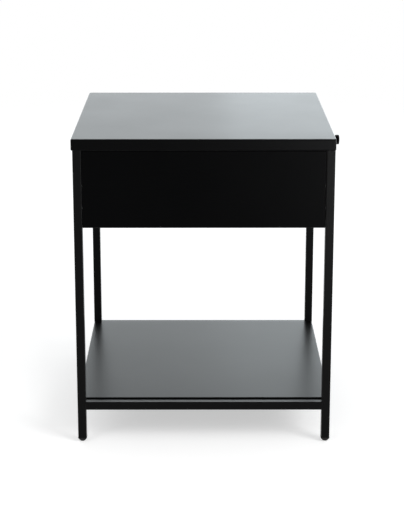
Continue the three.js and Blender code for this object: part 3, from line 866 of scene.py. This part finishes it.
def makeChannel(side, toRight):
    node = f"runner_channel_{side}"
    low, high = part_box(node)
    face = low.x if toRight > 0 else high.x
    depth, half = (high.x - low.x) / mm, (high.z - low.z) / 2 / mm
    middle = (low.z + high.z) / 2
    corners = [(depth, -half), (0, -half), (0, half), (depth, half)]
    shape = stripShape(roundedPath(corners, panel["bend"]), panel["channelSheet"], 0, low.y, high.y,
                       lambda across, up, along: (face + toRight * across, along, middle + up))
    piece = pieceFrom(f"runnerChannel{side.title()}", shape)
    polish(piece, panel["rawEdge"])
    handOver(piece, "table", "zinc_steel", node)


def makeBottom():
    low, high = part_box("bottom_panel")
    length, hem = (high.y - low.y) / mm, panel["hem"]
    corners = [(0, hem), (0, 0), (length, 0), (length, hem)]
    shape = stripShape(roundedPath(corners, panel["bend"]), 0, panel["sheet"], low.x, high.x,
                       lambda along, up, across: (across, low.y + along, low.z + up))
    piece = pieceFrom("boxBottom", shape)
    polish(piece, panel["rawEdge"])
    handOver(piece, "table", "black_coat", "bottom_panel")


for side, toRight in sides:
    makeSidePanel(side, toRight)
    makeChannel(side, toRight)
makeBottom()

print("knob")
knob = {
    "head": 9.0,  # length of the head, all in mm
    "neck": 4.0,  # radii
    "flange": 5.5,
    "flangeEdge": 0.2,
    "flareUp": 1.5,  # centre of the curve into the neck, in its radii above the flange's edge
    "root": 0.6,  # fillet under the head
    "edge": 1.5,
    "edgeTurn": 80,  # degrees, where the rim runs into the dome
    "chamfer": (2.2, 1.8),  # behind the head: along it and across
    "dome": 0.9,
    "domeRings": (0.8, 0.6, 0.4, 0.2, 0.05),  # shares of the dome's radius
    "bore": 12.0,
    "boreRadius": 1.6,
    "steps": 72,
    "arcSteps": 7,
    "rootSteps": 4,
}


def makeKnob():
    low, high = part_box("knob")
    length, head = (high.y - low.y) / mm, (high.x - low.x) / 2 / mm
    base, dome, edge, root = length - knob["head"], knob["dome"], knob["edge"], knob["root"]
    bore, flange, flangeEdge, inner = knob["boreRadius"], knob["flange"], knob["flangeEdge"], head - edge
    flare = flange - knob["neck"]
    along, across = knob["chamfer"]
    profile = [(bore, knob["bore"]), (bore, 0.0), (flange - flangeEdge, 0.0), (flange, flangeEdge)]
    profile += arcPath((flange, flangeEdge + flare * knob["flareUp"]), flare, 270, 180, knob["arcSteps"])
    profile += arcPath((knob["neck"] + root, base - root), root, 180, 90, knob["rootSteps"])
    profile += [(head - across, base), (head, base + along)]
    profile += arcPath((inner, length - dome - edge), edge, 0, knob["edgeTurn"], knob["arcSteps"])
    profile += [(inner * share, length - dome * share * share) for share in knob["domeRings"]]
    shape = turnedShape([(radius * mm, height * mm) for radius, height in profile], knob["steps"])
    middle = (low + high) / 2
    matrix = Matrix.Translation((middle.x, high.y, middle.z)) @ Matrix.Rotation(math.radians(90), 4, "X")
    bmesh.ops.transform(shape, matrix=matrix, verts=shape.verts)
    piece = pieceFrom("turnedKnob", shape)
    polish(piece)
    handOver(piece, "drawer", "black_coat", "knob")


makeKnob()

print("runners")
runner = {
    "thickness": 10.0,  # from the channel to the tray, all in mm
    "height": 27.0,
    "sheet": 1.2,
    "ball": 2.0,  # radius
    "ballPlay": 0.15,
    "ballAcross": 5.4,
    "outerRace": (-15, 120),  # degrees
    "innerRace": (-130, -60),
    "raceSteps": 14,
    "outerWebUp": 10.0,
    "innerWebUp": 5.8,
    "edge": 0.18,
    "stop": 1.5,
    "stopHeight": 9.0,
    "stopClear": 0.5,
    "slotLength": 12.0,
    "slotWidth": 4.6,
    "slotPlaces": (-75, 0, 75),  # from a member's middle
    "slotSteps": 6,
    "cageSheet": 0.6,
    "cageAcross": 2.0,
    "cageWebUp": 8.7,
    "cageBend": 0.8,
    "cageReach": 0.8,
    "cageEdge": 0.1,
    "ballsPerRow": 6,
}
ballUp = runner["height"] / 2 - runner["sheet"] - runner["ballPlay"] - runner["ball"]


# The lower half of a section that is the same above and below.
def mirrored(path):
    return [Vector((point[0], -point[1])) for point in reversed(path)]


def memberPath(race, webAcross, webUp):
    radius = runner["ball"] + runner["ballPlay"] + runner["sheet"] / 2
    half = arcPath((runner["ballAcross"], ballUp), radius, *race, runner["raceSteps"])
    half.append(Vector((webAcross, webUp)))
    return half + mirrored(half)


# Points are across from the channel towards the tray, up from the runner's middle, and along.
def runnerPlace(side, toRight):
    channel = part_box(f"runner_channel_{side}")
    face = channel[0].x if toRight > 0 else channel[1].x
    middle = boxMiddle(f"runner_outer_{side}").z
    return lambda across, up, along: Vector((face - toRight * across, along, middle + up))


# Cuts the slots along the middle of a member's web.
def punchSlots(member, place, across, middle):
    cutter = bmesh.new()
    half = runner["slotWidth"] / 2 * mm
    for along in runner["slotPlaces"]:
        rings = []
        for reach in (-runner["sheet"] * mm, runner["sheet"] * mm):
            ring = roundedRing(runner["slotLength"] / 2 * mm, half, half, reach, runner["slotSteps"])
            rings.append([place(across * mm + point.z, point.y, middle + along * mm + point.x)
                          for point in ring])
        bridge(cutter, rings)
    bmesh.ops.remove_doubles(cutter, verts=cutter.verts, dist=mergeWithin)
    combine(member, cutter)


# The outer member, with the stop tab at its rear end.
def makeOuterMember(side, place):
    node = f"runner_outer_{side}"
    low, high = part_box(node)
    half = runner["sheet"] / 2
    path = memberPath(runner["outerRace"], half, runner["outerWebUp"])
    outer = pieceFrom(f"runnerOuter{side.title()}", stripShape(path, half, half, low.y, high.y, place))
    stop = bmesh.new()
    corner = place(half * mm, -runner["stopHeight"] / 2 * mm, high.y - runner["stop"] * mm)
    far = place((runner["thickness"] - runner["stopClear"]) * mm, runner["stopHeight"] / 2 * mm, high.y)
    addBlock(stop, (min(corner.x, far.x), corner.y, corner.z), (max(corner.x, far.x), far.y, far.z))
    combine(outer, stop, "UNION")
    punchSlots(outer, place, half, (low.y + high.y) / 2)
    polish(outer, runner["edge"])
    handOver(outer, "table", "zinc_steel", node)


def makeInnerMember(side, place):
    node = f"runner_inner_{side}"
    low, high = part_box(node)
    half = runner["sheet"] / 2
    across = runner["thickness"] - half
    path = memberPath(runner["innerRace"], across, runner["innerWebUp"])
    inner = pieceFrom(f"runnerInner{side.title()}", stripShape(path, half, half, low.y, high.y, place))
    punchSlots(inner, place, across, (low.y + high.y) / 2)
    polish(inner, runner["edge"])
    handOver(inner, "drawer", "zinc_steel", node)


def makeCage(side, place):
    node, title = f"runner_cage_{side}", side.title()
    low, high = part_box(node)
    half = [Vector((runner["ballAcross"] - runner["cageReach"], ballUp)),
            Vector((runner["cageAcross"], runner["cageWebUp"]))]
    path = roundedPath(half + mirrored(half), runner["cageBend"])
    sheet = runner["cageSheet"] / 2
    strip = pieceFrom(f"cageStrip{title}", stripShape(path, sheet, sheet, low.y, high.y, place))
    polish(strip, runner["cageEdge"])
    body = f"cage_{side}"
    handOver(strip, body, "ball_steel", node)
    pitch = (high.y - low.y) / runner["ballsPerRow"]
    ends = []
    for up in (-ballUp, ballUp):
        for along in (low.y + pitch / 2, high.y - pitch / 2):
            ends.append(place(runner["ballAcross"] * mm, up * mm, along))
    rows = seedMesh("rowEnds", ends, edges=((0, 1), (2, 3)))
    balls = grow(f"cageBalls{title}", ballRows, rows, {
        "Count": runner["ballsPerRow"], "Radius": runner["ball"] * mm, "Finish": ballSteel})
    handOver(balls, body, "ball_steel", node, finish=ballSteel)


for side, toRight in sides:
    place = runnerPlace(side, toRight)
    makeOuterMember(side, place)
    makeInnerMember(side, place)
    makeCage(side, place)

print("fasteners")
screws = {  # in mm, heads and shanks by their radii; a head stands on z = 0
    "panelScrew": {"head": 4.6, "rise": 2.4, "shank": 2.5, "length": 9, "socket": "hex"},
    "shelfBolt": {"head": 3.6, "rise": 2.3, "shank": 1.75, "length": 11, "socket": "cross"},
    "slimScrew": {"head": 3.5, "rise": 1.6, "shank": 2.0, "length": 6, "socket": "cross"},
    "knobScrew": {"head": 3.4, "rise": 2.0, "shank": 1.5, "length": 10, "socket": "cross"},
    "runnerScrew": {"head": 3.0, "rise": 0.0, "shank": 1.6, "length": 8, "socket": "cross"},
    "rivet": {"head": 3.2, "rise": 1.1, "shank": 1.6, "length": 2.6, "socket": "mandrel"},
}
zincKinds = ("runnerScrew", "rivet")  # the others are black
socketCuts = {  # shares of the head's radius, or of the shank's for a hex, and of the head's height
    "hex": {"size": 0.62, "depth": 0.75},
    "cross": {"size": 0.52, "depth": 0.6},
    "mandrel": {"size": 0.3, "depth": 0.5},
}
screwForm = {
    "tip": 0.7,  # share of the shank's radius
    "edge": 0.15,  # under and beside the head, mm
    "crown": 0.38,  # share of the head's radius that is domed
    "crownRise": 0.6,  # share of the head's height that is domed
    "socketTaper": 0.86,
    "crossArm": 0.45,  # sine of twice the angle at which an arm ends
    "crossWaist": 0.36,
    "crownSteps": 7,
    "steps": 32,
}


def socketOutline(kind, size):
    if kind == "hex":
        def reach(angle):
            return size / math.cos((angle + math.pi / 6) % (math.pi / 3) - math.pi / 6)
    elif kind == "cross":
        def reach(angle):
            inArm = abs(math.sin(2 * angle)) < screwForm["crossArm"]
            return size if inArm else size * screwForm["crossWaist"]
    else:
        def reach(angle):
            return size
    return reach


# One fastener, head up, with its socket sunk into the head.
def screwPattern(name, kind):
    head, rise, shank, length = (kind[key] * mm for key in ("head", "rise", "shank", "length"))
    share, edge = socketCuts[kind["socket"]], screwForm["edge"] * mm
    size = share["size"] * (shank if kind["socket"] == "hex" else head)
    tall = max(rise, head / 2) if kind["socket"] == "cross" else rise  # a flush head has no rise
    socket = socketOutline(kind["socket"], size)
    tip = shank * screwForm["tip"]
    rings = [(tip, -length), (shank, -length + shank - tip)]
    if rise:
        rings += [(shank, 0.0), (head - edge, 0.0), (head, edge)]
        crown, crownRise = head * screwForm["crown"], rise * screwForm["crownRise"]
        for turn in quarterTurn(screwForm["crownSteps"]):
            rings.append((head - crown * (1 - math.cos(turn)), rise - crownRise * (1 - math.sin(turn))))
    else:
        rings += [(shank, shank - head), (head, -edge), (head - edge, 0.0)]
    taper = screwForm["socketTaper"]
    rings += [(socket, rise), (lambda angle: socket(angle) * taper, rise - share["depth"] * tall)]
    piece = pieceFrom(name, turnedShape(rings, screwForm["steps"]))
    polish(piece)
    return piece


# Which fasteners of the frame take which pattern, and where their heads look.
fastenerSets = [
    ("panelScrewsTop", "panelScrew", "top_screw_", "table", lambda toRight: (0, 0, -1)),
    ("panelScrewsBack", "panelScrew", "back_screw_", "table", lambda toRight: (-toRight, 0, 0)),
    ("shelfBolts", "shelfBolt", "shelf_bolt_", "table", lambda toRight: (-toRight, 0, 0)),
    ("bottomScrews", "slimScrew", "bottom_screw_", "table", lambda toRight: (0, 0, -1)),
    ("frontScrews", "slimScrew", "front_screw_", "drawer", lambda toRight: (0, 1, 0)),
    ("knobFastener", "knobScrew", "knob_screw", "drawer", lambda toRight: (0, 1, 0)),
    ("runnerScrews", "runnerScrew", "runner_screw_", "table", lambda toRight: (-toRight, 0, 0)),
    ("trayRivets", "rivet", "tray_rivet_", "drawer", lambda toRight: (-toRight, 0, 0)),
]


def makeFasteners(name, kindName, prefix, body, look, seed):
    kind = screws[kindName]
    pattern = screwPattern(kindName, kind)
    nodes = nodesNamed(prefix)
    seats, ways = [], []
    fromMiddle = (kind["length"] - kind["rise"]) / 2 * mm  # to the face that the head stands on
    for node in nodes:
        way = Vector(look(-1 if node.endswith("left") else 1))
        seats.append(boxMiddle(node) + way * fromMiddle)
        ways.append(way)
    slotName = "zinc_steel" if kindName in zincKinds else "black_screws"
    piece = grow(name, fasteners, seedMesh("seats", seats, ways, "towards"), {
        "Fastener": pattern, "Seed": seed, "Finish": slotFinish[slotName]})
    polish(piece)
    bpy.data.objects.remove(pattern)
    handOver(piece, body, slotName, *nodes)


for seed, (name, kindName, prefix, body, look) in enumerate(fastenerSets):
    makeFasteners(name, kindName, prefix, body, look, seed)

print("stage")
studio = {
    "floorRadius": 4.0,  # metres
    "floorFade": (1.2, 3.2),  # the floor fades out between these radii
    "floorSteps": 96,
    "floorColour": (0.86, 0.86, 0.86),
    "floorLift": 0.5,  # added where the floor is seen or mirrored
    "ambient": 0.5,
}
coolWhite = (0.89, 1.0, 1.05)
plainWhite = (1.0, 1.0, 1.0)
softboxes = {  # place, aim, width, height, radiance, colour
    "backWide": ((3.2, 0.3, 1.0), (0, 0.3, 1.0), 5.0, 1.4, 1.25, coolWhite),
    "backRight": ((3.1, -1.46, 1.0), (0, -0.9, 1.0), 2.8, 1.4, 0.8, coolWhite),
    "keyFront": ((-1.8, -2.2, 2.1), (0, 0, 0.4), 1.4, 1.4, 6.0, plainWhite),
    "fillSide": ((-2.2, 2.2, 1.8), (0, 0, 0.4), 1.3, 1.3, 2.0, plainWhite),
    "lowCard": ((-1.5, -0.8, 0.24), (-0.2, -0.2, 0.54), 0.9, 0.44, 17.0, plainWhite),
    "frontCard": ((0.7, -2.7, 0.5), (0, -0.2, 0.45), 1.3, 0.9, 9.0, plainWhite),
}
onlyReflected = ("lowCard", "frontCard")  # cards that show in the gloss and light nothing


# 1 for the rays that see the background itself: the camera's, and those by gloss or through glass.
def seenBackground(tree):
    path = tree.nodes.new("ShaderNodeLightPath").outputs
    seen = calculate(tree, "ADD", path["Is Camera Ray"], path["Is Glossy Ray"])
    return calculate(tree, "MINIMUM", calculate(tree, "ADD", seen, path["Is Transmission Ray"]), 1.0)


def makeFloor():
    mesh = bpy.data.meshes.new("floor")
    shape = bmesh.new()
    radius, steps = studio["floorRadius"], studio["floorSteps"]
    bmesh.ops.create_circle(shape, cap_ends=True, segments=steps, radius=radius)
    shape.to_mesh(mesh)
    shape.free()
    floor = link(bpy.data.objects.new("floor", mesh))
    material, tree = newMaterial("paleFloor")
    place = tree.nodes.new("ShaderNodeTexCoord").outputs["Object"]
    away = addNode(tree, "ShaderNodeVectorMath", {0: place}, operation="LENGTH").outputs["Value"]
    solid, gone = studio["floorFade"]
    fade = addNode(tree, "ShaderNodeMapRange", {"Value": away, "From Min": solid, "From Max": gone},
                   interpolation_type="SMOOTHSTEP").outputs["Result"]
    paint = addNode(tree, "ShaderNodeBsdfDiffuse", {"Color": (*studio["floorColour"], 1)})
    lift = addNode(tree, "ShaderNodeEmission", {
        "Strength": calculate(tree, "MULTIPLY", seenBackground(tree), studio["floorLift"])})
    surface = addNode(tree, "ShaderNodeAddShader", {0: paint.outputs[0], 1: lift.outputs[0]})
    clear = tree.nodes.new("ShaderNodeBsdfTransparent")
    mixed = addNode(tree, "ShaderNodeMixShader", {0: fade, 1: surface.outputs[0], 2: clear.outputs[0]})
    addNode(tree, "ShaderNodeOutputMaterial", {"Surface": mixed.outputs[0]})
    mesh.materials.append(material)


def makeWorld():
    world = bpy.data.worlds.new("studioAir")
    scene.world = world
    world.use_nodes = True
    tree = world.node_tree
    tree.nodes.clear()
    ambient = addNode(tree, "ShaderNodeBackground", {
        "Color": (*plainWhite, 1), "Strength": studio["ambient"]})
    seen = addNode(tree, "ShaderNodeBackground", {"Color": (*plainWhite, 1), "Strength": 1.0})
    mixed = addNode(tree, "ShaderNodeMixShader", {
        0: seenBackground(tree), 1: ambient.outputs[0], 2: seen.outputs[0]})
    addNode(tree, "ShaderNodeOutputWorld", {"Surface": mixed.outputs[0]})


def makeSoftboxes():
    for name, (place, aim, width, height, radiance, colour) in softboxes.items():
        light = bpy.data.lights.new(name, "AREA")
        light.color = colour
        light.shape = "RECTANGLE"
        light.size, light.size_y = width, height
        light.energy = math.pi * width * height * radiance
        lamp = link(bpy.data.objects.new(name, light))
        lamp.location = place
        lamp.rotation_euler = (Vector(aim) - Vector(place)).to_track_quat("-Z", "Y").to_euler()
        lamp.visible_camera = False
        lamp.visible_diffuse = name not in onlyReflected


makeFloor()
makeWorld()
makeSoftboxes()
